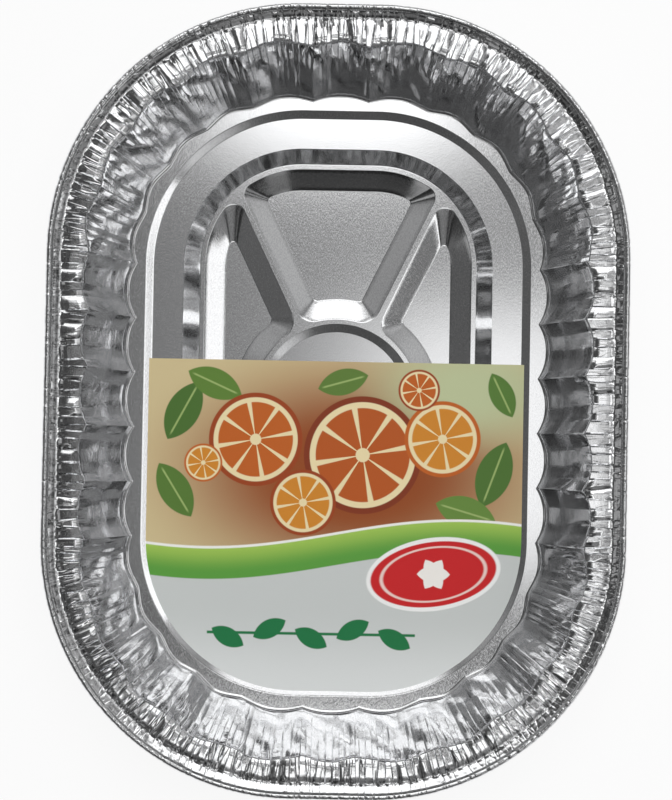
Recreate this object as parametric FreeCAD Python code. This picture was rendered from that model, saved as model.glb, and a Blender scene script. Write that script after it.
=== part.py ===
import FreeCAD, Part
import math
import os

"""Oval foil roasting pan pressed from one sheet of aluminium, with a printed card lying on its floor.

Millimetres. +X is across the pan, +Y along it and +Z up. The origin is the middle of the underside that the pan
stands on. Every outline of the pan is the same rounded rectangle grown from the same four corner centres, so an
outline is named by its reach: the radius that it has round a corner centre.
"""

V = FreeCAD.Vector
UP = V(0, 0, 1)

# The whole pan
length = 438.2
width = 322.3
height = 69.9
sheet = 0.13
corner_radius = 140.0
corner_facets = 12

# The rim: a crimped flange, an upstand, a narrow shelf and the edge rolled under into an open curl
curl_radius = 2.0
curl_facet = 45.0
curl_facets = 7
shelf_width = 1.5
upstand_run = 2.7
upstand_rise = 1.5
flange_width = 11.8
crimp_height = 0.9
crimp_lean = 0.5
crimp_end = 1.2
flange_margin = 0.5

# The fluted wall: flutes bulge outwards and meet in creases, and fine gathers run down from the flange
wall_run = 18.65
end_flute = 32.4
corner_flutes = 5
side_flutes = 5
flute_top_depth = 4.0
side_flute_base_depth = 4.5
corner_flute_base_depth = 3.0
corner_gather_count = 9
side_gather_count = 6
corner_gather_depth = 0.65
side_gather_depth = 0.2

# The floor: a ledge at the foot of the wall, a step down to a flat band, and raised ribs
ledge_width = 6.6
ledge_height = 2.3
step_run = 4.8
band_width = 17.1
rib_height = 5.0
rib_crest = 2.3
rib_outer_run = 10.4
rib_inner_share = 0.158
spoke_meets_corner_at = 41.6
spoke_crest = 2.6
hub_share = 0.592
hub_run = 5.0
hub_depth = 2.2
hub_facets = 40
pocket_top_corner = 7.0
pocket_floor_corner = 2.5

# The printed card, square at the top and rounded like the floor at the bottom
card_thickness = 0.3
card_top = 23.8
card_inset = 3.5
card_gap = 0.05

# Reaches of the upper skin, from the rim inwards
corner_x = width / 2 - corner_radius
corner_y = length / 2 - corner_radius
curl_reach = corner_radius - curl_radius
shelf_reach = curl_reach - curl_radius - shelf_width
upstand_reach = shelf_reach - upstand_run
wall_top_reach = upstand_reach - flange_width - flute_top_depth
wall_base_reach = wall_top_reach - wall_run
step_top_reach = wall_base_reach - ledge_width
step_foot_reach = step_top_reach - step_run
band_reach = step_foot_reach - band_width
crest_outer_reach = band_reach - rib_outer_run
crest_inner_reach = crest_outer_reach - rib_crest

# The hub and the slopes into the pockets keep their shares of the half-width inside the outer rib
inner_half_width = corner_x + crest_inner_reach
hub_radius = hub_share * inner_half_width
rib_inner_run = rib_inner_share * inner_half_width

# Each spoke of the rib runs from the middle of the pan to this far round a corner, so this is its angle from +Y
spoke_turn = math.radians(spoke_meets_corner_at)
spoke_angle = math.atan2(
    corner_x + crest_inner_reach * math.sin(spoke_turn),
    corner_y + crest_inner_reach * math.cos(spoke_turn),
)

# Heights of the upper skin
floor_z = sheet
crest_z = rib_height + sheet
hub_z = crest_z - hub_depth
ledge_z = ledge_height + sheet
curl_z = height - curl_radius
flange_z = curl_z - upstand_rise

# The lower skin of the wall lies this much further out, which leaves the sheet its thickness across the wall
wall_slope = math.atan2(wall_run, flange_z - ledge_z)
wall_shift = sheet * (1 - math.sin(wall_slope)) / math.cos(wall_slope)

# Path lengths along the top of the wall: round one corner, and half way round the pan
corner_arc = math.pi / 2 * wall_top_reach
half_loop = 2 * (corner_x + corner_arc + corner_y)


def station(s):
    """The foot on the rectangle of corner centres, and the outward direction, at path length s clockwise from the
    middle of the +Y end."""
    s = s % (2 * half_loop)
    turn = 1
    if s > half_loop:
        s -= half_loop
        turn = -1
    if s <= corner_x:
        foot, out = (s, corner_y), (0, 1)
    elif s <= corner_x + corner_arc:
        angle = (s - corner_x) / wall_top_reach
        foot, out = (corner_x, corner_y), (math.sin(angle), math.cos(angle))
    elif s <= corner_x + corner_arc + 2 * corner_y:
        foot, out = (corner_x, corner_y - (s - corner_x - corner_arc)), (1, 0)
    elif s <= half_loop - corner_x:
        angle = math.pi / 2 + (s - corner_x - corner_arc - 2 * corner_y) / wall_top_reach
        foot, out = (corner_x, -corner_y), (math.sin(angle), math.cos(angle))
    else:
        foot, out = (half_loop - s, -corner_y), (0, -1)
    return [turn * c for c in foot], [turn * c for c in out]


def at(s, reach, z):
    foot, out = station(s)
    return V(foot[0] + reach * out[0], foot[1] + reach * out[1], z)


def arc(start, end, centre, count):
    """Points that part the shorter arc from start to end round a centre into equal chords, without the last."""
    spoke, turn = start - centre, end - centre
    angle = math.atan2(spoke.x * turn.y - spoke.y * turn.x, spoke.x * turn.x + spoke.y * turn.y)
    points = []
    for k in range(count):
        c, s = math.cos(angle * k / count), math.sin(angle * k / count)
        points.append(centre + V(c * spoke.x - s * spoke.y, s * spoke.x + c * spoke.y, 0))
    return points


def closed(points):
    return Part.makePolygon(points + points[:1])


def patch(points):
    """Flat faces on a ring of points: one if they share a plane, else triangles fanned from the first."""
    normal = (points[1] - points[0]).cross(points[2] - points[0]).normalize()
    if all(abs((p - points[0]).dot(normal)) < 1e-7 for p in points):
        return [Part.Face(closed(points))]
    return [Part.Face(closed([points[0], points[i], points[i + 1]])) for i in range(1, len(points) - 1)]


def band(ring, other):
    """Faces between two closed rings that have their points side by side."""
    faces = []
    for i in range(len(ring)):
        faces += patch([ring[i - 1], ring[i], other[i], other[i - 1]])
    return faces


def flat_face(outer, holes=()):
    return Part.makeFace([closed(ring) for ring in [outer] + list(holes)], "Part::FaceMakerBullseye")


def outline(reach, z):
    """Points round the rounded rectangle at a reach."""
    marks = [corner_x + corner_arc * k / corner_facets for k in range(corner_facets + 1)]
    marks += [half_loop - s for s in reversed(marks)]
    return [at(s, reach, z) for s in marks + [s + half_loop for s in marks]]


def swept(section):
    """The faces that a section of (reach, height) points leaves when it goes once round the outline."""
    rings = [outline(reach, z) for reach, z in section]
    faces = []
    for ring, other in zip(rings, rings[1:]):
        faces += band(ring, other)
    return faces


def creases():
    """Path lengths of the creases between the flutes."""
    quarter = corner_x + corner_arc
    first = [end_flute / 2] + [corner_x + corner_arc * k / corner_flutes for k in range(1, corner_flutes + 1)]
    side = [quarter + 2 * corner_y * k / side_flutes for k in range(1, side_flutes)]
    last = [half_loop - s for s in reversed(first)]
    half = first + side + last
    return half + [s + half_loop for s in half]


def is_side(s):
    return abs(station(s)[1][0]) > 1 - 1e-9


def flute(start, end, out, down):
    """Faces of one flute and of the crimped flange above it, on a skin moved out and down. Returns the faces,
    the points of the wall's foot and those of the flange's outer edge, without the last of each."""
    on_side = is_side((start + end) / 2)
    count = side_gather_count if on_side else corner_gather_count
    base_depth = side_flute_base_depth if on_side else corner_flute_base_depth
    gather_depth = side_gather_depth if on_side else corner_gather_depth

    def point(share, reach, z):
        return at(start + share * (end - start), reach + out, z - down)

    def bulge(share):
        return 1 - (2 * share - 1) ** 2

    def top(share):
        return point(share, wall_top_reach + flute_top_depth * bulge(share), flange_z)

    def base(share):
        return point(share, wall_base_reach + base_depth * bulge(share), ledge_z)

    def ridge(share):
        reach = wall_top_reach + flute_top_depth * bulge(share) - crimp_lean
        return point(share, reach, flange_z + crimp_height)

    def fade(share):
        return top(share) + (base(share) - top(share)) * gather_depth

    def edge(share, back, rise):
        return point(share, upstand_reach - flange_margin - back, flange_z + rise)

    valleys = [k / count for k in range(count + 1)]
    ridges = [(k + 0.5) / count for k in range(count)]
    rows = [0] + ridges + [1]
    faces = []
    for k, share in enumerate(ridges):
        a, b = valleys[k], valleys[k + 1]
        peak, far, foot = ridge(share), edge(share, crimp_end, crimp_height), fade(share)
        faces += patch([top(a), peak, far, edge(a, 0, 0)])
        faces += patch([peak, top(b), edge(b, 0, 0), far])
        faces += patch([edge(a, 0, 0), far, edge(b, 0, 0)])
        faces += patch([top(a), foot, peak])
        faces += patch([peak, foot, top(b)])
    for k, share in enumerate(valleys):
        faces += patch([top(share), fade(rows[k]), fade(rows[k + 1])])
    for a, b in zip(rows, rows[1:]):
        faces += patch([fade(a), base(a), base(b), fade(b)])
    return faces, [base(share) for share in rows[:-1]], [edge(share, 0, 0) for share in valleys[:-1]]


def pocket(end, reach, ring, half_crest, corner, z):
    """Points round a pocket at one level. End pockets lie between the spokes at an end, the others beside
    the hub. The spokes' sides stand half_crest from their axes, and ring is the radius of the hub's ring there."""
    axis = V(math.sin(spoke_angle), math.cos(spoke_angle), 0)
    side = V(-axis.y, axis.x, 0) if end else V(axis.y, -axis.x, 0)
    centre = V(corner_x, corner_y, 0)

    # The fillet between the spoke and the outer rib, then the one between the spoke and the ring
    shelf = side * (half_crest + corner) - centre
    b = shelf.dot(axis)
    outer = centre + shelf + axis * (-b + math.sqrt(b * b - shelf.dot(shelf) + (reach - corner) ** 2))
    inner = side * (half_crest + corner)
    inner += axis * math.sqrt((ring + corner) ** 2 - (half_crest + corner) ** 2)

    def mirrored(p):
        return V(-p.x, p.y, p.z) if end else V(p.x, -p.y, p.z)

    rib_end = centre + (V(0, reach, 0) if end else V(reach, 0, 0))
    on_ring = inner * (ring / (ring + corner))
    on_rib = centre + (outer - centre) * (reach / (reach - corner))
    pieces = [
        (on_ring, inner - side * corner, inner, 4),
        (inner - side * corner, outer - side * corner, None, 1),
        (outer - side * corner, on_rib, outer, 4),
        (on_rib, rib_end, centre, 6),
    ]
    pieces += [(rib_end, mirrored(rib_end), None, 1)]
    pieces += [(mirrored(q), mirrored(p), mirrored(c) if c else None, n) for p, q, c, n in reversed(pieces[:4])]
    pieces += [(mirrored(on_ring), on_ring, V(0, 0, 0), 6 if end else 12)]
    points = []
    for p, q, c, n in pieces:
        points += arc(p, q, c, n) if c else [p]
    return [V(p.x, p.y, z) for p in points]


def turned(points):
    """The same points half a turn round the pan."""
    return [V(-p.x, -p.y, p.z) for p in points]


def circle(radius, z):
    quarters = [V(radius, 0, z), V(0, radius, z), V(-radius, 0, z), V(0, -radius, z)]
    points = []
    for k in range(4):
        points += arc(quarters[k], quarters[(k + 1) % 4], V(0, 0, z), hub_facets // 4)
    return points


def floor_faces():
    """The ribs, the hub, the pockets and the band, on the upper skin, out to the top of the step."""
    faces = swept([
        (crest_outer_reach, crest_z),
        (band_reach, floor_z),
        (step_foot_reach, floor_z),
        (step_top_reach, ledge_z),
    ])
    hub_edge = circle(hub_radius, crest_z)
    hub_foot = circle(hub_radius - hub_run, hub_z)
    faces += band(hub_edge, hub_foot) + [flat_face(hub_foot)]
    holes = [hub_edge]
    ring = hub_radius + rib_crest
    for end in (True, False):
        crest = pocket(end, crest_inner_reach, ring, spoke_crest / 2, pocket_top_corner, crest_z)
        foot = pocket(
            end,
            crest_inner_reach - rib_inner_run,
            ring + rib_inner_run,
            spoke_crest / 2 + rib_inner_run,
            pocket_floor_corner,
            floor_z,
        )
        for top, bottom in ((crest, foot), (turned(crest), turned(foot))):
            faces += band(top, bottom) + [flat_face(bottom)]
            holes.append(top)
    faces += [flat_face(outline(crest_outer_reach, crest_z), holes)]
    return faces


def wall_faces(out, down):
    """The ledge, the wall and the flange of one skin, out to the foot of the upstand."""
    marks = creases()
    faces, foot, edge = [], [], []
    for start, end in zip([marks[-1] - 2 * half_loop] + marks, marks):
        made, low, high = flute(start, end, out, down)
        faces += made
        foot += low
        edge += high
    faces += [flat_face(foot, [outline(step_top_reach, ledge_z - down)])]
    faces += [flat_face(outline(upstand_reach + out, flange_z - down), [edge])]
    return faces


def rim_section(out, down):
    """The upstand, the shelf and the curl of one skin."""
    radius = curl_radius - down
    turns = [math.radians(180 - curl_facet * k) for k in range(curl_facets + 1)]
    curl = [(curl_reach + radius * math.cos(a), curl_z + radius * math.sin(a)) for a in turns]
    return [(upstand_reach + out, flange_z - down), (shelf_reach + out, curl_z - down)] + curl


def foil_pan():
    upper = floor_faces()
    lower = [face.translated(V(0, 0, -sheet)) for face in upper]
    upper += wall_faces(0, 0)
    lower += wall_faces(wall_shift, sheet)
    upper_rim = rim_section(0, 0)
    lower_rim = rim_section(wall_shift, sheet)
    cut_edge = swept([upper_rim[-1], lower_rim[-1]])
    shell = Part.makeShell(upper + lower + swept(upper_rim) + swept(lower_rim) + cut_edge)
    solid = Part.makeSolid(shell)
    if solid.Volume < 0:
        solid.reverse()
    return solid


def paper_label():
    """Lies flat on the crests of the ribs."""
    reach = step_top_reach - card_inset
    z = crest_z + card_gap
    half = corner_x + reach
    low = V(0, -corner_y - reach, z)
    right, left = V(corner_x, -corner_y, z), V(-corner_x, -corner_y, z)
    points = [V(half, card_top, z)]
    points += arc(V(half, -corner_y, z), low + V(corner_x, 0, 0), right, 2 * corner_facets)
    points += [low + V(corner_x, 0, 0)]
    points += arc(low - V(corner_x, 0, 0), V(-half, -corner_y, z), left, 2 * corner_facets)
    points += [V(-half, -corner_y, z), V(-half, card_top, z)]
    return flat_face(points).extrude(UP * card_thickness)


os.makedirs("parts", exist_ok=True)
for name, solid in (("foil_pan", foil_pan()), ("paper_label", paper_label())):
    solid.exportStep("parts/" + name + ".step")
    box = solid.BoundBox
    print(name, solid.isValid(), solid.ShapeType, len(solid.Faces), round(solid.Volume, 1), box)
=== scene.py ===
"""Oval foil roasting pan seen from straight above, with a printed card on its floor.

Lengths in the pan's shape are millimetres, and meshes are made in metres. Every outline is the same rounded
rectangle grown from four corner centres. So an outline is named by its reach: its radius round a corner
centre.
"""

import math
import random

import bpy
import numpy as np
from mathutils import Matrix, Vector
from mathutils.geometry import delaunay_2d_cdt


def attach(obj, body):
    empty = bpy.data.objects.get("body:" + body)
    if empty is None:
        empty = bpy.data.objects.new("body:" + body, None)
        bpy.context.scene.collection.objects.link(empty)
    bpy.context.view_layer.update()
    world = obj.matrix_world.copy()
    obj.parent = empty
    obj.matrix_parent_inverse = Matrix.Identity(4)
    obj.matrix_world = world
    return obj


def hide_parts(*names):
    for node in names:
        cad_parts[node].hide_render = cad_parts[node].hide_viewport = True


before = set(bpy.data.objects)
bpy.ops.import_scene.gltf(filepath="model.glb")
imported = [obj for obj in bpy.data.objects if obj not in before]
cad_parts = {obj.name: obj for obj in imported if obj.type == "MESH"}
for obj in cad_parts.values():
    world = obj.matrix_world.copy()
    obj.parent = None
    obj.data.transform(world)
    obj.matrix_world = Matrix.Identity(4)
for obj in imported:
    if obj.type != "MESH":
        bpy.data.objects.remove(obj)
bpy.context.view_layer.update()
chance = random.Random(7)
MM = 0.001

# Sizes shared with the solid model
HALF_WIDTH = 161.15
HALF_LENGTH = 219.1
HEIGHT = 69.9
SHEET = 0.13
CORNER_RADIUS = 140.0
CORNER_X = HALF_WIDTH - CORNER_RADIUS
CORNER_Y = HALF_LENGTH - CORNER_RADIUS
CURL_RADIUS = 2.0
CURL_REACH = CORNER_RADIUS - CURL_RADIUS
CURL_Z = HEIGHT - CURL_RADIUS
SHELF_REACH = 134.5
UPSTAND_REACH = 131.8
FLANGE_Z = 66.4
WALL_TOP = 116.0
WALL_BASE = 97.35
LEDGE_Z = 2.3 + SHEET
STEP_TOP = 90.75
STEP_FOOT = 85.95
BAND_REACH = 68.85
CREST_OUTER = 58.45
CREST_INNER = 56.15
CREST_Z = 5.0 + SHEET
FLOOR_Z = SHEET
SPOKE_ANGLE = math.radians(25.8)
SPOKE_CREST = 2.6
SLOPE_RUN = 12.2
HUB_RADIUS = 45.8
HUB_RUN = 5.0
HUB_Z = CREST_Z - 2.2
RIB_CREST = 2.3

# Sizes of this mesh alone
FOOT_RADIUS = 2.8
FLUTE_SPREAD = 4.0
LIP_HANG = 0.4
EDGE_BOW = 0.02
FOOT_TILTS = (0, 20, 40, 58)
WALL_SHARES = (0.035, 0.12, 0.24, 0.37, 0.49, 0.6, 0.7, 0.79, 0.87, 0.95)
LIP_SHARE = 0.992
CURL_RINGS = 9
CURL_START = 170
CURL_TURN = 35
FLOOR_POINTS = 360
HUB_POINTS = 120

# Rings of the flange: share of its width, share of a crimp's height, and how far the crimp is pinched
FLANGE_RINGS = ((0.0, 1.0, 0.0), (0.3, 1.0, 0.0), (0.62, 1.0, 0.1), (0.86, 1.0, 0.6), (0.97, 0.3, 1.0))

# Shares of a slope's run at which it has rings, close together at its rounded edges
RAMP = (0.0, 0.018, 0.04, 0.2, 0.5, 0.8, 0.96, 0.982, 1.0)

CORNER_ARC = math.pi / 2 * WALL_TOP
HALF_LOOP = 2 * (CORNER_X + CORNER_ARC + CORNER_Y)


# Stations round the pan


def stations(path):
    """Feet on the rectangle of corner centres and outward directions at path lengths clockwise from +Y."""
    feet, outs = [], []
    for s in path:
        s = s % (2 * HALF_LOOP)
        turn = 1
        if s > HALF_LOOP:
            s -= HALF_LOOP
            turn = -1
        if s <= CORNER_X:
            foot, out = (s, CORNER_Y), (0, 1)
        elif s <= CORNER_X + CORNER_ARC:
            angle = (s - CORNER_X) / WALL_TOP
            foot, out = (CORNER_X, CORNER_Y), (math.sin(angle), math.cos(angle))
        elif s <= CORNER_X + CORNER_ARC + 2 * CORNER_Y:
            foot, out = (CORNER_X, CORNER_Y - (s - CORNER_X - CORNER_ARC)), (1, 0)
        elif s <= HALF_LOOP - CORNER_X:
            angle = math.pi / 2 + (s - CORNER_X - CORNER_ARC - 2 * CORNER_Y) / WALL_TOP
            foot, out = (CORNER_X, -CORNER_Y), (math.sin(angle), math.cos(angle))
        else:
            foot, out = (HALF_LOOP - s, -CORNER_Y), (0, -1)
        feet.append([turn * c for c in foot])
        outs.append([turn * c for c in out])
    return np.array(feet, float), np.array(outs, float)


def creases():
    """Path lengths of the creases between the 32 flutes."""
    quarter = CORNER_X + CORNER_ARC
    first = [16.2] + [CORNER_X + CORNER_ARC * k / 5 for k in range(1, 6)]
    side = [quarter + 2 * CORNER_Y * k / 5 for k in range(1, 5)]
    half = first + side + [HALF_LOOP - s for s in reversed(first)]
    return half + [s + HALF_LOOP for s in half]


def straight_side(s):
    return abs(stations([s])[1][0][0]) > 1 - 1e-9


def straight_end(s):
    return abs(stations([s])[1][0][1]) > 1 - 1e-9


def columns():
    """Columns of the mesh round the pan, four to a crimp.

    Each has its path length, the bulge of its flute at the foot and at the top, the ridge of its crimp, the
    crimp's height at the lip and outside, the gather's size and depth, and the flute's depth at the top and
    the foot.
    """
    marks = creases()
    made = []
    for start, end in zip([marks[-1] - 2 * HALF_LOOP] + marks, marks):
        on_side = straight_side((start + end) / 2)
        on_end = straight_end((start + end) / 2)
        sharp = [straight_side(mark) or straight_end(mark) for mark in (start, end)]
        count = 6 if on_side else chance.choice((9, 10, 10, 11))
        widths = [chance.uniform(0.5, 1.6) if on_side else chance.uniform(0.65, 1.4) for _ in range(count)]
        edges = np.concatenate([[0], np.cumsum(widths)]) / sum(widths)
        for k in range(count):
            inner = chance.uniform(0.35, 1.0)
            outer = min(1.15, max(0.3, inner + chance.uniform(-0.15, 0.3)))
            near_crease = min(k, count - 1 - k) == 0
            if on_side:
                size, depth = chance.uniform(0.1, 0.35), chance.uniform(0.12, 0.3)
                if near_crease:
                    size, depth = chance.uniform(0.3, 0.6), chance.uniform(0.25, 0.5)
            else:
                size, depth = chance.uniform(0.3, 1.0), chance.uniform(0.4, 1.15)
            skew = chance.uniform(-0.18, 0.18)
            for place, ridge in (
                (0.0, 0.0),
                (0.11 + skew / 4, chance.uniform(0.93, 1.03)),
                (0.5 + skew, 1.0),
                (0.89 + skew / 4, chance.uniform(0.93, 1.03)),
            ):
                share = edges[k] + place * (edges[k + 1] - edges[k])
                pinched = 1 - abs(2 * share - 1) ** 2.2
                rounded = 0.5 - 0.5 * math.cos(2 * math.pi * share)
                soft = 0.25 * pinched + 0.75 * rounded
                bulge = pinched if sharp[int(share > 0.5)] else soft
                top_bulge = bulge if on_side else soft
                s = start + share * (end - start)
                tops = (4.0, 4.5) if on_side else (3.6, 3.0) if on_end else (3.0, 2.6)
                made.append((s, bulge, top_bulge, ridge, inner, outer, size, depth, *tops))
    return [np.array(c, float) for c in zip(*made)]


def waves(s, z, seed, lengths, heights):
    """A smooth uneven field over path length and height, about -1 to 1."""
    rng = np.random.default_rng(seed)
    total = np.zeros_like(s)
    loop = 2 * HALF_LOOP
    for length in lengths:
        for height in heights:
            turns = max(1, round(loop / length * rng.uniform(0.8, 1.2)))
            total += np.sin(2 * math.pi * (turns * s / loop + z / height) + rng.uniform(0, 6.28))
    return total / math.sqrt(len(lengths) * len(heights))


# The pan's mesh, both skins


class Skins:
    """Points of the cooking side, each with its way to the underside. Faces are given on the cooking side."""

    def __init__(self):
        self.points = []
        self.offsets = []
        self.faces = []
        self.edge = []

    def add(self, points, offsets):
        first = len(self.points)
        self.points += [tuple(p) for p in points]
        self.offsets += [tuple(o) for o in np.broadcast_to(offsets, (len(points), 3))]
        return list(range(first, len(self.points)))

    def strip(self, inner, outer):
        """Quads between two rings with their points side by side."""
        n = len(inner)
        for i in range(n):
            j = (i + 1) % n
            self.faces.append((inner[i], outer[i], outer[j], inner[j]))

    def fill(self, outer, holes=()):
        """A flat filling of an outline, but for its holes."""
        rings = [outer] + list(holes)
        flat = [np.array([self.points[i][:2] for i in ring]) for ring in rings]
        ids = [i for ring in rings for i in ring]
        coords = [Vector(p) for ring in flat for p in ring]
        edges, first = [], 0
        for ring in rings:
            n = len(ring)
            edges += [(first + k, first + (k + 1) % n) for k in range(n)]
            first += n
        verts, _, tris, origins, _, _ = delaunay_2d_cdt(coords, edges, [], 0, 1e-5)
        for tri in tris:
            a, b, c = (verts[i] for i in tri)
            middle = ((a.x + b.x + c.x) / 3, (a.y + b.y + c.y) / 3)
            if not inside(middle, flat[0]) or any(inside(middle, f) for f in flat[1:]):
                continue
            face = [ids[origins[i][0]] for i in tri]
            if (b - a).cross(c - a) < 0:
                face.reverse()
            self.faces.append(tuple(face))

    def mesh(self, name):
        upper = np.array(self.points)
        lower = upper + np.array(self.offsets)
        n = len(upper)
        faces = list(self.faces) + [tuple(i + n for i in reversed(f)) for f in self.faces]
        for i in range(len(self.edge)):
            a, b = self.edge[i], self.edge[(i + 1) % len(self.edge)]
            faces.append((a, a + n, b + n, b))
        mesh = bpy.data.meshes.new(name)
        mesh.from_pydata((np.concatenate([upper, lower]) * MM).tolist(), [], faces)
        mesh.update()
        return mesh


def keep_flats(mesh):
    """Stands the normals upright on level faces and their edges, so that only the slopes look rounded."""
    corners = np.empty(len(mesh.loops) * 3)
    mesh.corner_normals.foreach_get("vector", corners)
    corners = corners.reshape(-1, 3)
    vertex = np.empty(len(mesh.loops), int)
    mesh.loops.foreach_get("vertex_index", vertex)
    size = np.empty(len(mesh.polygons), int)
    mesh.polygons.foreach_get("loop_total", size)
    faces = np.empty(len(mesh.polygons) * 3)
    mesh.polygons.foreach_get("normal", faces)
    up = np.repeat(faces.reshape(-1, 3)[:, 2], size)
    level = np.abs(up) > 0.999999
    upright = np.zeros(len(mesh.vertices))
    upright[vertex[level]] = np.sign(up[level])
    turned = upright[vertex]
    corners[turned != 0] = 0
    corners[:, 2] += turned
    mesh.normals_split_custom_set(corners)


def inside(p, ring):
    x, y = p
    x0, y0 = ring[:, 0], ring[:, 1]
    x1, y1 = np.roll(x0, -1), np.roll(y0, -1)
    crossing = (y0 > y) != (y1 > y)
    with np.errstate(divide="ignore", invalid="ignore"):
        at = x0 + (y - y0) * (x1 - x0) / (y1 - y0)
    return bool(np.count_nonzero(crossing & (x < at)) % 2)


def arc(start, end, centre, count):
    """Points that part the shorter arc into equal chords, without the last."""
    start, end, centre = (np.array(p, float) for p in (start, end, centre))
    spoke, turn = start - centre, end - centre
    angle = math.atan2(spoke[0] * turn[1] - spoke[1] * turn[0], spoke @ turn)
    made = []
    for k in range(count):
        c, s = math.cos(angle * k / count), math.sin(angle * k / count)
        made.append(centre + (c * spoke[0] - s * spoke[1], s * spoke[0] + c * spoke[1]))
    return made


def pocket(end, reach, ring, half_crest, corner, hub_corner):
    """Points round a sunken pocket between the spokes: at an end of the pan, or beside the hub."""
    axis = np.array([math.sin(SPOKE_ANGLE), math.cos(SPOKE_ANGLE)])
    side = np.array([-axis[1], axis[0]]) if end else np.array([axis[1], -axis[0]])
    centre = np.array([CORNER_X, CORNER_Y])
    shelf = side * (half_crest + corner) - centre
    b = shelf @ axis
    outer = centre + shelf + axis * (-b + math.sqrt(b * b - shelf @ shelf + (reach - corner) ** 2))
    aside = half_crest + hub_corner
    inner = side * aside + axis * math.sqrt((ring + hub_corner) ** 2 - aside**2)
    flip = np.array([-1, 1]) if end else np.array([1, -1])
    rib_end = centre + (np.array([0, reach]) if end else np.array([reach, 0]))
    on_ring = inner * (ring / (ring + hub_corner))
    on_rib = centre + (outer - centre) * (reach / (reach - corner))
    pieces = [
        (on_ring, inner - side * hub_corner, inner, 8),
        (inner - side * hub_corner, outer - side * corner, None, 8),
        (outer - side * corner, on_rib, outer, 8),
        (on_rib, rib_end, centre, 10),
    ]
    pieces += [(rib_end, rib_end * flip, None, 8)]
    for p, q, c, n in reversed(pieces[:4]):
        pieces.append((q * flip, p * flip, c if c is None else c * flip, n))
    pieces += [(on_ring * flip, on_ring, np.zeros(2), 12 if end else 24)]
    # Straight edges bow out a little, so that no three points of a filling lie in line
    middle = np.mean([piece[0] for piece in pieces], axis=0)
    points = []
    for p, q, c, n in pieces:
        if c is None:
            square = np.array([q[1] - p[1], p[0] - q[0]]) / np.hypot(*(q - p))
            bow = EDGE_BOW * np.sign(square @ (p - middle)) * square
            points += [p + (q - p) * k / n + bow * 4 * (k / n) * (1 - k / n) for k in range(n)]
        else:
            points += arc(p, q, c, n)
    return np.array(points)


def ease(t, soft):
    """A ramp from 0 to 1 with both ends rounded over a share of its run."""
    steepness = 1 / (1 - soft)
    if t < soft:
        return steepness * t * t / (2 * soft)
    if t > 1 - soft:
        return 1 - steepness * (1 - t) ** 2 / (2 * soft)
    return steepness * (t - soft / 2)


def slope(skins, top, bottom, z_top, z_bottom, soft=0.035):
    """Rings from a top outline to a bottom one. Returns the rings' point numbers, from the top."""
    rings = []
    for t in RAMP:
        flat = top + (bottom - top) * t
        z = z_top + (z_bottom - z_top) * ease(t, soft)
        rings.append(skins.add(np.column_stack([flat, np.full(len(flat), z)]), (0, 0, -SHEET)))
    return rings


def anticlockwise(ring):
    x, y = ring[:, 0], ring[:, 1]
    area = np.sum(x * np.roll(y, -1) - y * np.roll(x, -1))
    return ring if area > 0 else ring[::-1]


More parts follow.
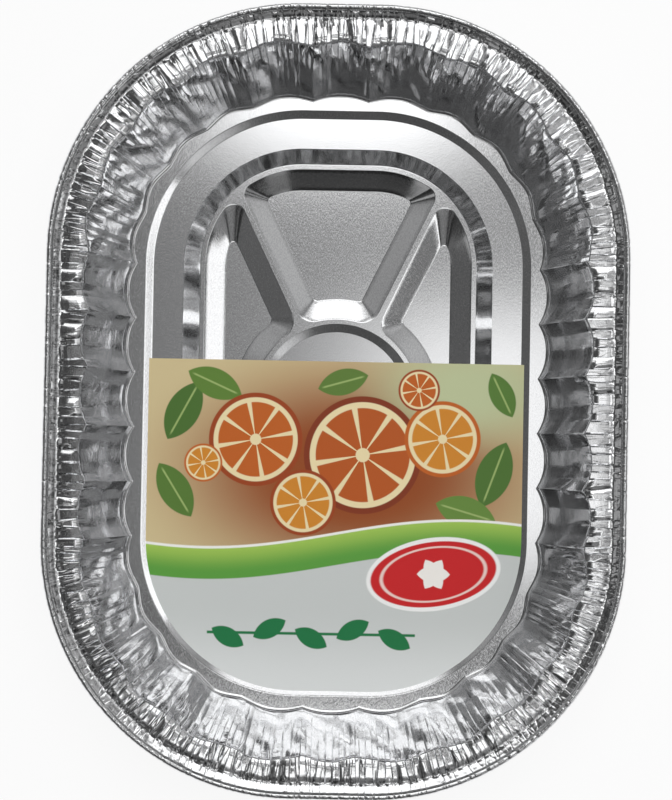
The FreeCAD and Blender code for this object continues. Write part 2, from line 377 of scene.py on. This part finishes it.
def side_rings(skins):
    """The wall, the crimped flange and the rolled edge. Returns the ring at the wall's foot."""
    made = [values[::-1] for values in columns()]
    s, bulge, top_bulge, ridge, inner, outer, size, depth, top_depth, base_depth = made
    feet, outs = stations(s)
    base = WALL_BASE + base_depth * bulge
    top = WALL_TOP + FLUTE_SPREAD - top_depth * (1 - top_bulge)
    along = np.column_stack([outs[:, 1], -outs[:, 0]])
    lean = waves(s, np.zeros_like(s), 17, (6, 9, 15, 31), (50,)) * 1.1
    tight, loose = (np.random.default_rng(seed).uniform(-1, 1, len(s)) for seed in (21, 22))
    under = np.column_stack([outs * (SHEET * 0.75), np.full(len(s), -SHEET)])

    # The corners and ends are more crumpled than the sides
    crumpled = np.where(depth > 0.35, 1.0, 0.35)

    def ring(reach, z, shift=0.0):
        reach = np.broadcast_to(reach, s.shape)
        z = np.broadcast_to(z, s.shape)
        shift = lean * shift
        return skins.add(np.column_stack([feet + outs * reach[:, None] + along * shift[:, None], z]), under)

    def wall(f):
        """Reach and height of the wall at a share of its height, with its gathers and dents."""
        gathered = np.clip(1 - (1 - f) / depth, 0, 1)
        z = LEDGE_Z + (FLANGE_Z - LEDGE_Z) * f
        level = np.full_like(s, z)
        small = min(1.0, 0.25 + 1.5 * f)
        uneven = waves(s, level, 3, (9, 14, 23), (70, 130)) * 0.25 * crumpled
        uneven += waves(s, level, 5, (40, 70), (60, 120)) * 0.3
        uneven += waves(s, level, 6, (4.2, 6.1, 8.5), (24, 45)) * 0.13 * small * crumpled
        uneven += waves(s, level, 13, (13, 19, 27), (26, 41)) * 0.42 * crumpled
        envelope = math.sin(math.pi * min(1.0, f)) ** 0.7
        creased = tight * max(0.0, f - 0.25) + loose * envelope * 0.5
        uneven += 0.13 * creased * crumpled
        return base + (top - base) * f - size * ridge * gathered + uneven * envelope, z

    # The foot of the wall and the wall
    rings = []
    for tilt in FOOT_TILTS:
        tilt = math.radians(tilt)
        reach = base + FOOT_RADIUS * (math.sin(tilt) - 0.75)
        rings.append(ring(reach, LEDGE_Z + FOOT_RADIUS * (1 - math.cos(tilt))))
    for f in WALL_SHARES:
        reach, z = wall(f)
        rings.append(ring(reach, z))

    # The rounded lip
    lip_wall, lip_z = wall(LIP_SHARE)
    crest = FLANGE_Z + inner * ridge
    lip_flange = top + 0.5 - 0.8 * size * ridge
    for t in (0.0, 0.5):
        reach = (1 - t) ** 2 * lip_wall + 2 * (1 - t) * t * (lip_flange - LIP_HANG) + t * t * lip_flange
        rings.append(ring(reach, (1 - t) ** 2 * lip_z + (1 - (1 - t) ** 2) * crest))

    # The crimped flange, the upstand and the shelf
    pinch = np.where(ridge == 1.0, (1 + tight) / 2, 0.0)
    for q, height, pinched in FLANGE_RINGS:
        crimp = (inner + (outer - inner) * q) * (1 - pinched * pinch)
        reach = lip_flange + (UPSTAND_REACH - lip_flange) * q
        rings.append(ring(reach, FLANGE_Z + crimp * ridge * height, q))
    rings.append(ring(UPSTAND_REACH + 1.2, FLANGE_Z + 0.55, 0.8))
    rings.append(ring(SHELF_REACH, CURL_Z - 0.1 + 0.1 * tight, 0.3))
    rings.append(ring(CURL_REACH - CURL_RADIUS - 0.25, CURL_Z + 0.08 * loose))

    # The rolled edge, notched here and there
    notch = np.random.default_rng(4).uniform(0, 1, len(s))
    rough = np.where(notch < 0.45, -0.05 - 0.55 * notch, -0.03)
    curl = rough + waves(s, np.zeros_like(s), 11, (2.6, 4.1), (50,)) * 0.05 - 0.05
    for k in range(CURL_RINGS):
        angle = math.radians(CURL_START - CURL_TURN * k)
        radius = CURL_RADIUS + curl
        c, z = math.cos(angle), math.sin(angle)
        points = np.column_stack([feet + outs * (CURL_REACH + radius * c)[:, None], CURL_Z + radius * z])
        offsets = np.column_stack([outs * (-SHEET * c), np.full(len(s), -SHEET * z)])
        rings.append(skins.add(points, offsets))
    for a, b in zip(rings, rings[1:]):
        skins.strip(a, b)
    skins.edge = rings[-1]
    return rings[0]


def floor_rings(skins, foot):
    """The ledge, the step, the band, the rib with its spokes, the pockets and the hub."""
    path = np.linspace(0, 2 * HALF_LOOP, FLOOR_POINTS, endpoint=False)[::-1]
    feet, outs = stations(path)

    def outline(reach):
        return feet + outs * reach

    step = slope(skins, outline(STEP_TOP), outline(STEP_FOOT), LEDGE_Z, FLOOR_Z)
    rib = slope(skins, outline(CREST_OUTER), outline(BAND_REACH), CREST_Z, FLOOR_Z)
    skins.fill(foot, [step[0]])
    for a, b in zip(step, step[1:]):
        skins.strip(b, a)
    skins.strip(rib[-1], step[-1])
    for a, b in zip(rib, rib[1:]):
        skins.strip(a, b)

    turns = np.linspace(0, 2 * math.pi, HUB_POINTS, endpoint=False)
    circle = np.column_stack([np.cos(turns), np.sin(turns)])
    hub = slope(skins, circle * HUB_RADIUS, circle * (HUB_RADIUS - HUB_RUN), CREST_Z, HUB_Z)
    for a, b in zip(hub, hub[1:]):
        skins.strip(b, a)
    skins.fill(hub[-1])
    holes = [hub[0]]
    ring = HUB_RADIUS + RIB_CREST
    half_spoke = SPOKE_CREST / 2
    for end in (True, False):
        crest = pocket(end, CREST_INNER, ring, half_spoke, 7.0, 11.0)
        floor = pocket(end, CREST_INNER - SLOPE_RUN, ring + SLOPE_RUN, half_spoke + SLOPE_RUN, 2.5, 3.0)
        for turn in (1, -1):
            made = slope(skins, anticlockwise(crest * turn), anticlockwise(floor * turn), CREST_Z, FLOOR_Z)
            for a, b in zip(made, made[1:]):
                skins.strip(b, a)
            skins.fill(made[-1])
            holes.append(made[0])
    skins.fill(rib[0], holes)


def pan_mesh():
    skins = Skins()
    foot = side_rings(skins)
    floor_rings(skins, foot)
    return skins.mesh("foil pan")


# Materials


def link_or_set(tree, socket, value):
    if hasattr(value, "links"):
        tree.links.new(value, socket)
    else:
        socket.default_value = value


def calc(tree, operation, *values):
    node = tree.nodes.new("ShaderNodeMath")
    node.operation = operation
    for socket, value in zip(node.inputs, values):
        link_or_set(tree, socket, value)
    return node.outputs[0]


def step_up(tree, value, start, end, low=0.0, high=1.0, shape="SMOOTHSTEP"):
    node = tree.nodes.new("ShaderNodeMapRange")
    node.interpolation_type = shape
    for name, number in (("From Min", start), ("From Max", end), ("To Min", low), ("To Max", high)):
        node.inputs[name].default_value = number
    tree.links.new(value, node.inputs["Value"])
    return node.outputs["Result"]


def product(tree, *values):
    result = values[0]
    for value in values[1:]:
        result = calc(tree, "MULTIPLY", result, value)
    return result


def blend(tree, share, first, second):
    """A mix of two colours, where a share of 1 gives the second."""
    node = tree.nodes.new("ShaderNodeMix")
    node.data_type = "RGBA"
    for socket, value in zip((node.inputs[0], node.inputs[6], node.inputs[7]), (share, first, second)):
        link_or_set(tree, socket, value)
    return node.outputs[2]


def noise(tree, vector, scale, detail):
    node = tree.nodes.new("ShaderNodeTexNoise")
    node.inputs["Scale"].default_value = scale
    node.inputs["Detail"].default_value = detail
    tree.links.new(vector, node.inputs["Vector"])
    return node.outputs["Fac"]


def bump(tree, height, strength, distance, normal=None):
    node = tree.nodes.new("ShaderNodeBump")
    link_or_set(tree, node.inputs["Strength"], strength)
    node.inputs["Distance"].default_value = distance
    tree.links.new(height, node.inputs["Height"])
    if normal is not None:
        tree.links.new(normal, node.inputs["Normal"])
    return node.outputs["Normal"]


def position(tree, output="Object"):
    """A vector that places each point, and its three parts."""
    place = tree.nodes.new("ShaderNodeTexCoord").outputs[output]
    split = tree.nodes.new("ShaderNodeSeparateXYZ")
    tree.links.new(place, split.inputs[0])
    return place, [split.outputs[i] for i in range(3)]


def nodes_of(material):
    tree = material.node_tree
    return tree, tree.nodes["Principled BSDF"]


def rim_places(tree, x, y):
    """The nearest point on the rectangle of corner centres, and the way out from it, along X and Y."""
    near, out = [], []
    for value, limit in ((x, CORNER_X), (y, CORNER_Y)):
        near.append(calc(tree, "MINIMUM", calc(tree, "MAXIMUM", value, -limit * MM), limit * MM))
        out.append(calc(tree, "SUBTRACT", value, near[-1]))
    return near, out


def foil_material():
    material = bpy.data.materials.new("foil")
    material.use_nodes = True
    tree, shader = nodes_of(material)
    shader.inputs["Metallic"].default_value = 1.0
    place, (x, y, height) = position(tree)

    # Rolling lines along the sheet, which runs along the pan
    stretch = tree.nodes.new("ShaderNodeMapping")
    stretch.inputs["Scale"].default_value = (2600, 1000, 1000)
    tree.links.new(place, stretch.inputs["Vector"])
    grain = noise(tree, stretch.outputs["Vector"], 1.0, 2.0)
    tone = blend(tree, step_up(tree, grain, 0.3, 0.7), (0.77, 0.775, 0.785, 1), (0.95, 0.955, 0.965, 1))
    tree.links.new(tone, shader.inputs["Base Color"])
    fine = bump(tree, grain, 0.028, 0.0003)

    # The worked wall is a little duller than the flat sheet
    rough = step_up(tree, grain, 0.3, 0.7, 0.05, 0.14, "LINEAR")
    on_wall = step_up(tree, height, 0.056, 0.064, 1.0, 0.0)
    worked = product(tree, step_up(tree, height, 0.004, 0.012, 0.0, 0.03), on_wall)
    tree.links.new(calc(tree, "ADD", rough, worked), shader.inputs["Roughness"])

    # Shallow dents, deepest on the wall
    below_rim = step_up(tree, height, 0.058, 0.064, 1.0, 0.3)
    dented = product(tree, step_up(tree, height, 0.005, 0.02, 0.004, 0.3), below_rim)
    broad = bump(tree, noise(tree, place, 70.0, 4.0), dented, 0.0012, fine)

    # Thin creases square to the rim, on the wall and the rim
    near, out = rim_places(tree, x, y)
    square = calc(tree, "ADD", product(tree, out[0], out[0]), product(tree, out[1], out[1]))
    reach = calc(tree, "SQRT", square)
    to_loop = calc(tree, "DIVIDE", WALL_TOP * MM, calc(tree, "MAXIMUM", reach, 0.01))
    loop = tree.nodes.new("ShaderNodeCombineXYZ")
    for i in range(2):
        on_loop = calc(tree, "ADD", near[i], product(tree, out[i], to_loop))
        tree.links.new(calc(tree, "DIVIDE", on_loop, 0.004), loop.inputs[i])
    rise = calc(tree, "ADD", reach, product(tree, height, 0.4))
    tree.links.new(calc(tree, "DIVIDE", rise, 0.022), loop.inputs["Z"])
    streaks = noise(tree, loop.outputs["Vector"], 1.0, 1.0)
    from_middle = calc(tree, "ABSOLUTE", calc(tree, "SUBTRACT", streaks, 0.5))
    on_rim = step_up(tree, height, 0.060, 0.0655, 0.0, 0.05)
    at_bead = step_up(tree, reach, 0.1345, 0.136, 0.0, 0.15)
    on_side = product(tree, step_up(tree, calc(tree, "ABSOLUTE", out[1]), 0.0, 0.02, 0.2, 1.0), 0.2)
    up_wall = product(tree, step_up(tree, height, 0.008, 0.05), on_side)
    strength = calc(tree, "ADD", calc(tree, "ADD", on_rim, at_bead), up_wall)
    thin = bump(tree, step_up(tree, from_middle, 0.0, 0.06), strength, 0.0002, broad)
    tree.links.new(thin, shader.inputs["Normal"])
    return material


foil = foil_material()
pan = bpy.data.objects.new("pan", pan_mesh())
bpy.context.scene.collection.objects.link(pan)
pan.data.materials.append(foil)
pan.data.shade_smooth()
pan.data.set_sharp_from_angle(angle=math.radians(38))
keep_flats(pan.data)
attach(pan, "root")
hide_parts("foil_pan")

# The card's print


class Print:
    """Flat colour printed in simple shapes, placed in millimetres of the pan's frame."""

    def __init__(self, name, colour):
        self.material = bpy.data.materials.new(name)
        self.material.use_nodes = True
        self.tree, self.shader = nodes_of(self.material)
        _, (x, y, _) = position(self.tree)
        self.x = calc(self.tree, "DIVIDE", x, MM)
        self.y = calc(self.tree, "DIVIDE", y, MM)
        self.colour = colour

    def calc(self, operation, *values):
        return calc(self.tree, operation, *values)

    def paint(self, mask, colour):
        """Lays a colour, or a colour socket, over what is there, where the mask is 1."""
        self.colour = blend(self.tree, mask, self.colour, colour)

    def edge(self, value, at=0.0, blur=0.35):
        """1 where the value, in millimetres, is below at."""
        return step_up(self.tree, value, at - blur, at + blur, 1.0, 0.0)

    def turned(self, centre, angle):
        c, s = math.cos(math.radians(angle)), math.sin(math.radians(angle))
        x = self.calc("SUBTRACT", self.x, centre[0])
        y = self.calc("SUBTRACT", self.y, centre[1])
        across = self.calc("ADD", self.calc("MULTIPLY", x, c), self.calc("MULTIPLY", y, s))
        along = self.calc("SUBTRACT", self.calc("MULTIPLY", y, c), self.calc("MULTIPLY", x, s))
        return across, along

    def oval(self, centre, radii, angle=0.0):
        """Distance outside an oval, about in millimetres."""
        across, along = self.turned(centre, angle)
        a = self.calc("POWER", self.calc("DIVIDE", across, radii[0]), 2.0)
        b = self.calc("POWER", self.calc("DIVIDE", along, radii[1]), 2.0)
        root = self.calc("SQRT", self.calc("ADD", a, b))
        return self.calc("MULTIPLY", self.calc("SUBTRACT", root, 1.0), min(radii))

    def leaf(self, centre, size, angle):
        """Distance outside a pointed leaf as long as twice its size."""
        across, along = self.turned(centre, angle)
        side = self.calc("ADD", self.calc("ABSOLUTE", along), size * 0.75)
        square = self.calc("ADD", self.calc("POWER", across, 2.0), self.calc("POWER", side, 2.0))
        return self.calc("SUBTRACT", self.calc("SQRT", square), size * 1.25)


def srgb(*levels):
    linear = [v / 255 / 12.92 if v <= 10 else ((v / 255 + 0.055) / 1.055) ** 2.4 for v in levels]
    return (*linear, 1.0)


# Colours of the print
GREY, PALE_GREY = srgb(206, 210, 208), srgb(226, 229, 228)
GREEN, LIGHT_GREEN, SPRIG_GREEN = srgb(92, 160, 62), srgb(166, 203, 88), srgb(22, 118, 66)
CREAM, TAN = srgb(250, 250, 244), srgb(214, 196, 150)
LEAF_RIB, PITH = srgb(160, 184, 110), srgb(244, 226, 178)
AMBER, BROWN, GOLD = srgb(196, 98, 28), srgb(158, 66, 20), srgb(214, 138, 40)
RED, PINK, RED_EDGE, PETAL = srgb(206, 28, 32), srgb(246, 214, 206), srgb(250, 250, 248), srgb(250, 246, 240)

# Places and sizes on the print
BADGE = (58, -98)
BADGE_TILT = 9
WAVE_Y = -94.0
SPRIG_X = -12
SPRIG_HALF = 60


def slice_of_fruit(ink, centre, radius, rind, flesh):
    def disc(share):
        return ink.edge(ink.oval(centre, (radius * share, radius * share)))

    ink.paint(disc(1.0), rind)
    ink.paint(disc(0.9), PITH)
    across, along = ink.turned(centre, 11)
    angle = ink.calc("ARCTAN2", along, across)
    spokes = ink.calc("SINE", ink.calc("MULTIPLY", angle, 4.0))
    wedge = step_up(ink.tree, ink.calc("ABSOLUTE", spokes), 0.18, 0.3)
    outside_core = ink.calc("SUBTRACT", 1.0, disc(0.12))
    ink.paint(product(ink.tree, wedge, disc(0.8), outside_core), flesh)


def card_print():
    ink = Print("card", GREY)

    # Grey field, paler towards the foot
    ink.paint(step_up(ink.tree, ink.y, -166, -118, 1.0, 0.0), PALE_GREY)

    # Warm field above a green wave
    wave = ink.calc("MULTIPLY", ink.calc("SINE", ink.calc("MULTIPLY", ink.x, 0.021)), 9.0)
    above = ink.calc("SUBTRACT", WAVE_Y, ink.calc("SUBTRACT", ink.y, wave))
    warm = ink.edge(ink.calc("ADD", above, 19.0))
    ink.paint(ink.edge(above), GREEN)
    ink.paint(ink.edge(ink.calc("ADD", above, 11.0), blur=8.0), LIGHT_GREEN)
    ink.paint(ink.edge(ink.calc("ADD", above, 17.5)), CREAM)
    ink.paint(warm, TAN)

    def warm_only(mask):
        return ink.calc("MULTIPLY", mask, warm)

    shade = step_up(ink.tree, ink.oval((10, -40), (105, 62)), -40, 22, 1.0, 0.0)
    ink.paint(warm_only(shade), srgb(150, 74, 26))
    glow = step_up(ink.tree, ink.oval((78, 8), (60, 32)), -25, 12, 1.0, 0.0)
    ink.paint(warm_only(glow), srgb(196, 204, 160))
    for centre, size, angle, colour in (
        ((-88, -6), 19, 62, srgb(74, 112, 44)),
        ((-70, 10), 17, -24, srgb(96, 132, 52)),
        ((-92, -52), 18, -58, srgb(88, 124, 50)),
        ((92, -40), 20, 70, srgb(78, 116, 46)),
        ((76, -62), 18, -16, srgb(104, 140, 60)),
        ((4, 12), 15, 16, srgb(96, 128, 54)),
        ((96, 6), 14, 116, srgb(88, 126, 52)),
    ):
        ink.paint(warm_only(ink.edge(ink.leaf(centre, size, angle))), colour)
        across, along = ink.turned(centre, angle)
        line = ink.edge(ink.calc("ABSOLUTE", along), 0.5)
        length = ink.edge(ink.oval(centre, (size * 0.8, 3.0), angle))
        ink.paint(warm_only(ink.calc("MULTIPLY", line, length)), LEAF_RIB)
    for centre, radius, rind, flesh in (
        ((-46, -22), 27, BROWN, AMBER),
        ((16, -30), 34, srgb(132, 52, 18), srgb(186, 88, 26)),
        ((-18, -58), 19, BROWN, GOLD),
        ((62, -20), 22, AMBER, GOLD),
        ((48, 8), 12, BROWN, AMBER),
        ((-76, -36), 11, AMBER, GOLD),
    ):
        slice_of_fruit(ink, centre, radius, rind, flesh)

    # Red badge on the green wave
    badge = ink.oval(BADGE, (36.6, 18.6), BADGE_TILT)
    ink.paint(ink.edge(ink.oval(BADGE, (39, 21), BADGE_TILT)), RED_EDGE)
    ink.paint(ink.edge(badge), RED)
    ink.paint(ink.edge(ink.calc("ABSOLUTE", ink.calc("ADD", badge, 3.2)), 0.5), PINK)
    for turn in (0, 60, 120):
        ink.paint(ink.edge(ink.leaf(BADGE, 9.5, turn)), PETAL)

    # Green sprig on the grey field
    for k, x in enumerate((-60, -36, -12, 12, 36)):
        odd = k % 2
        ink.paint(ink.edge(ink.leaf((x, -136 + 5 * odd), 10.5, 28 if odd else -28)), SPRIG_GREEN)
    stem = ink.edge(ink.calc("ABSOLUTE", ink.calc("ADD", ink.y, 133.5)), 0.8)
    length = ink.edge(ink.calc("ABSOLUTE", ink.calc("SUBTRACT", ink.x, SPRIG_X)), SPRIG_HALF)
    ink.paint(ink.calc("MULTIPLY", stem, length), SPRIG_GREEN)

    ink.tree.links.new(ink.colour, ink.shader.inputs["Base Color"])
    ink.shader.inputs["Roughness"].default_value = 0.45
    return ink.material


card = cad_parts["paper_label"]
card.data.materials.clear()
card.data.materials.append(card_print())
card.visible_glossy = False

# The floor's whiteness to the camera, and in the metal; the rest is its own shading, which keeps the shadow
WHITE_TO_CAMERA = 0.9
WHITE_IN_METAL = 0.55


def floor_material():
    material = bpy.data.materials.new("floor")
    material.use_nodes = True
    tree, shader = nodes_of(material)
    shader.inputs["Base Color"].default_value = (0.9, 0.9, 0.9, 1)
    shader.inputs["Roughness"].default_value = 0.9
    white = tree.nodes.new("ShaderNodeEmission")
    mix = tree.nodes.new("ShaderNodeMixShader")
    path = tree.nodes.new("ShaderNodeLightPath")
    to_camera = calc(tree, "MULTIPLY", path.outputs["Is Camera Ray"], WHITE_TO_CAMERA)
    to_metal = calc(tree, "MULTIPLY", path.outputs["Is Glossy Ray"], WHITE_IN_METAL)
    tree.links.new(calc(tree, "MAXIMUM", to_camera, to_metal), mix.inputs["Fac"])
    tree.links.new(shader.outputs[0], mix.inputs[1])
    tree.links.new(white.outputs[0], mix.inputs[2])
    tree.links.new(mix.outputs[0], tree.nodes["Material Output"].inputs["Surface"])
    return material


bpy.ops.mesh.primitive_plane_add(size=12, location=(0, 0, -0.0004))
floor = bpy.context.object
floor.name = "floor"
floor.data.materials.append(floor_material())

# World


def studio():
    """A dim room, palest overhead, with bright panels towards +Y, -Y and +X.

    The numbers after x, y and z are parts of a unit direction.
    """
    world = bpy.data.worlds.new("studio")
    world.use_nodes = True
    tree = world.node_tree
    _, (x, y, z) = position(tree, "Generated")

    def up(value, start, end, low=0.0, high=1.0):
        return step_up(tree, value, start, end, low, high)

    def times(*values):
        return product(tree, *values)

    def less(value, share):
        """1 less a share of a value."""
        return calc(tree, "SUBTRACT", 1.0, calc(tree, "MULTIPLY", value, share))

    across = calc(tree, "ABSOLUTE", x)
    forward = calc(tree, "MAXIMUM", calc(tree, "SUBTRACT", y, 0.14), 0.0)
    reach = calc(tree, "MULTIPLY_ADD", forward, 0.72, 0.055)
    left = up(x, -0.15, -0.06, 0.12, 1.0)

    # The room
    far_left_dark = up(x, -0.122, -0.105, 0.3, 1.0)
    half_way = times(up(z, 0.76, 0.8), up(z, 0.88, 0.905, 1.0, 0.0))
    spread = calc(tree, "DIVIDE", across, times(reach, calc(tree, "MULTIPLY_ADD", half_way, 0.5, 1.0)))
    dim = times(
        up(x, -0.1, 0.5, 0.075, 0.13),
        up(z, 0.2, 0.45, 0.25, 1.0),
        less(half_way, 0.8),
        calc(tree, "MAXIMUM", far_left_dark, up(z, 0.9, 0.94, 1.0, 0.0)),
    )
    far_left = times(up(x, -0.55, -0.4, 0.1, 0.0), up(y, 0.1, 0.3, 0.25, 1.0))
    ceiling = times(
        up(z, 0.82, 0.96),
        up(x, -0.09, 0.03, 0.13, 0.22),
        up(y, -0.08, -0.04, 0.45, 1.0),
        far_left_dark,
    )

    # Panels: ahead, behind, and overhead to the right
    gap = times(up(z, 0.69, 0.705), up(z, 0.725, 0.745, 1.0, 0.0))
    ahead = times(
        less(gap, 0.8),
        up(y, 0.122, 0.142),
        up(y, 0.78, 0.83, 1.25, 0.0),
        up(spread, 0.6, 1.15, 1.0, 0.12),
        calc(tree, "MAXIMUM", left, up(y, 0.25, 0.45)),
    )
    behind = times(
        up(y, -0.134, -0.112, 1.2, 0.0),
        up(y, -0.28, -0.2),
        up(across, 0.15, 0.4, 1.0, 0.1),
        up(x, 0.1, 0.2, 1.0, 0.25),
        left,
    )
    overhead_right = times(
        up(x, -0.03, 0.06),
        up(x, 0.1, 0.125, 1.0, 0.45),
        up(x, 0.3, 0.45, 1.0, 0.5),
        up(y, 0.05, 0.085, 0.85, 0.0),
        up(y, -0.075, -0.035),
        up(z, 0.7, 0.85),
    )

    # Softer light from the right
    beside = times(
        up(x, 0.4, 0.62, 0.0, 0.18),
        up(x, 0.74, 0.8, 1.0, 0.1),
        up(calc(tree, "ABSOLUTE", y), 0.2, 0.38, 0.1, 1.0),
        less(half_way, 0.85),
    )
    low_right = times(
        up(x, 0.2, 0.45, 0.0, 0.38),
        up(z, 0.74, 0.78, 1.0, 0.0),
        up(y, -0.36, -0.46),
        up(y, -0.75, -0.65),
    )

    # Narrow windows half way up, seen by the walls
    bars = calc(tree, "SINE", calc(tree, "MULTIPLY_ADD", calc(tree, "ARCTAN2", x, y), 7.0, 0.6))
    windows = times(
        up(bars, 0.45, 0.7, 0.0, 0.31),
        half_way,
        up(x, -0.1, 0.3, 1.0, 0.5),
        up(y, 0.2, 0.4, 1.0, 0.3),
    )
    level = dim
    for light in (far_left, ceiling, ahead, behind, overhead_right, beside, low_right, windows):
        level = calc(tree, "ADD", level, light)

    # Below the horizon an even grey
    horizon = up(z, 0.1, 0.18, 1.0, 0.0)
    room = calc(tree, "ADD", times(level, less(horizon, 1.0)), times(horizon, 0.15))
    tree.links.new(room, tree.nodes["Background"].inputs["Strength"])
    tree.nodes["Background"].inputs["Color"].default_value = (1, 1, 1, 1)
    return world


bpy.context.scene.world = studio()

# Lights


def panel(name, place, aim, size, power, glossy=False):
    data = bpy.data.lights.new(name, "AREA")
    data.shape = "RECTANGLE"
    data.size, data.size_y = size
    data.energy = power
    lamp = bpy.data.objects.new(name, data)
    lamp.location = place
    lamp.rotation_euler = (Vector(place) - Vector(aim)).to_track_quat("Z", "Y").to_euler()
    lamp.visible_glossy = glossy
    lamp.visible_camera = False
    bpy.context.scene.collection.objects.link(lamp)


panel("fill", (0.1, 0.3, 1.6), (0, 0, 0), (1.2, 1.2), 14)
panel("strip", (0.50, 0.02, 0.6), (0.50, 0.02, 0), (0.14, 0.36), 0.16, True)

# Camera: straight above, leaning and turned a little. The rim's scale is in pixels of the photograph's frame
# to a metre.
CAMERA_HEIGHT = 1.27
CAMERA_Y = -0.030
CAMERA_TURN = math.radians(1.053)
RIM_Z = 0.068
RIM_SCALE = 1820.6
IMAGE_HEIGHT = 800
SENSOR = 24.0

data = bpy.data.cameras.new("camera")
data.sensor_fit = "VERTICAL"
data.sensor_height = SENSOR
data.lens = RIM_SCALE * (CAMERA_HEIGHT - RIM_Z) * SENSOR / IMAGE_HEIGHT
data.clip_start = 0.01
data.clip_end = 50
camera = bpy.data.objects.new("camera", data)
bpy.context.scene.collection.objects.link(camera)
camera.location = (0.0, CAMERA_Y, CAMERA_HEIGHT)
look = (camera.location - Vector((0.0, 0.0, RIM_Z))).normalized()
up = Vector((-math.sin(CAMERA_TURN), math.cos(CAMERA_TURN), 0))
right = up.cross(look).normalized()
up = look.cross(right)
camera.matrix_world = Matrix((
    (right.x, up.x, look.x, camera.location.x),
    (right.y, up.y, look.y, camera.location.y),
    (right.z, up.z, look.z, camera.location.z),
    (0, 0, 0, 1),
))
bpy.context.scene.camera = camera

bpy.context.scene.view_settings.view_transform = "Standard"
